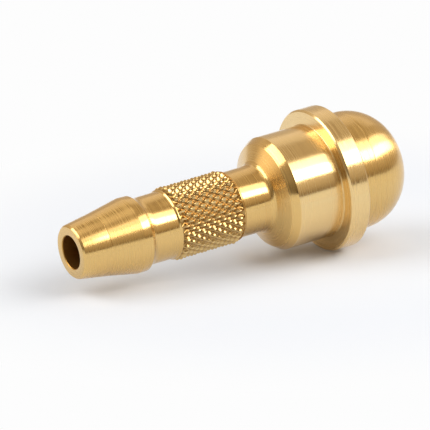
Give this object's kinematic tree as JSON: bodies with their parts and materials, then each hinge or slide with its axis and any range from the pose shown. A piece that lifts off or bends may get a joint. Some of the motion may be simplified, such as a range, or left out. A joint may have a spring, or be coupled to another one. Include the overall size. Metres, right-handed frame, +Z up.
{
  "type": "hose nipple",
  "caption": "Turned hose nipple, drilled through, with a tapered barb, a diamond-knurled band, a smooth nut guide, a collar and a rounded nose.",
  "frame": {"origin": "centre of the flat ring at the end of the nose, which the part stands on", "axes": "+Z up the turning axis from the nose to the hose tail; the part is round, so X and Y are free"},
  "size_m": [0.02, 0.02, 0.0507],
  "materials": {
    "brass": "bright turned brass with fine tool rings, and a diamond-knurled band"
  },
  "bodies": {
    "root": {"hose_nipple": "brass"}
  },
  "joints": []
}
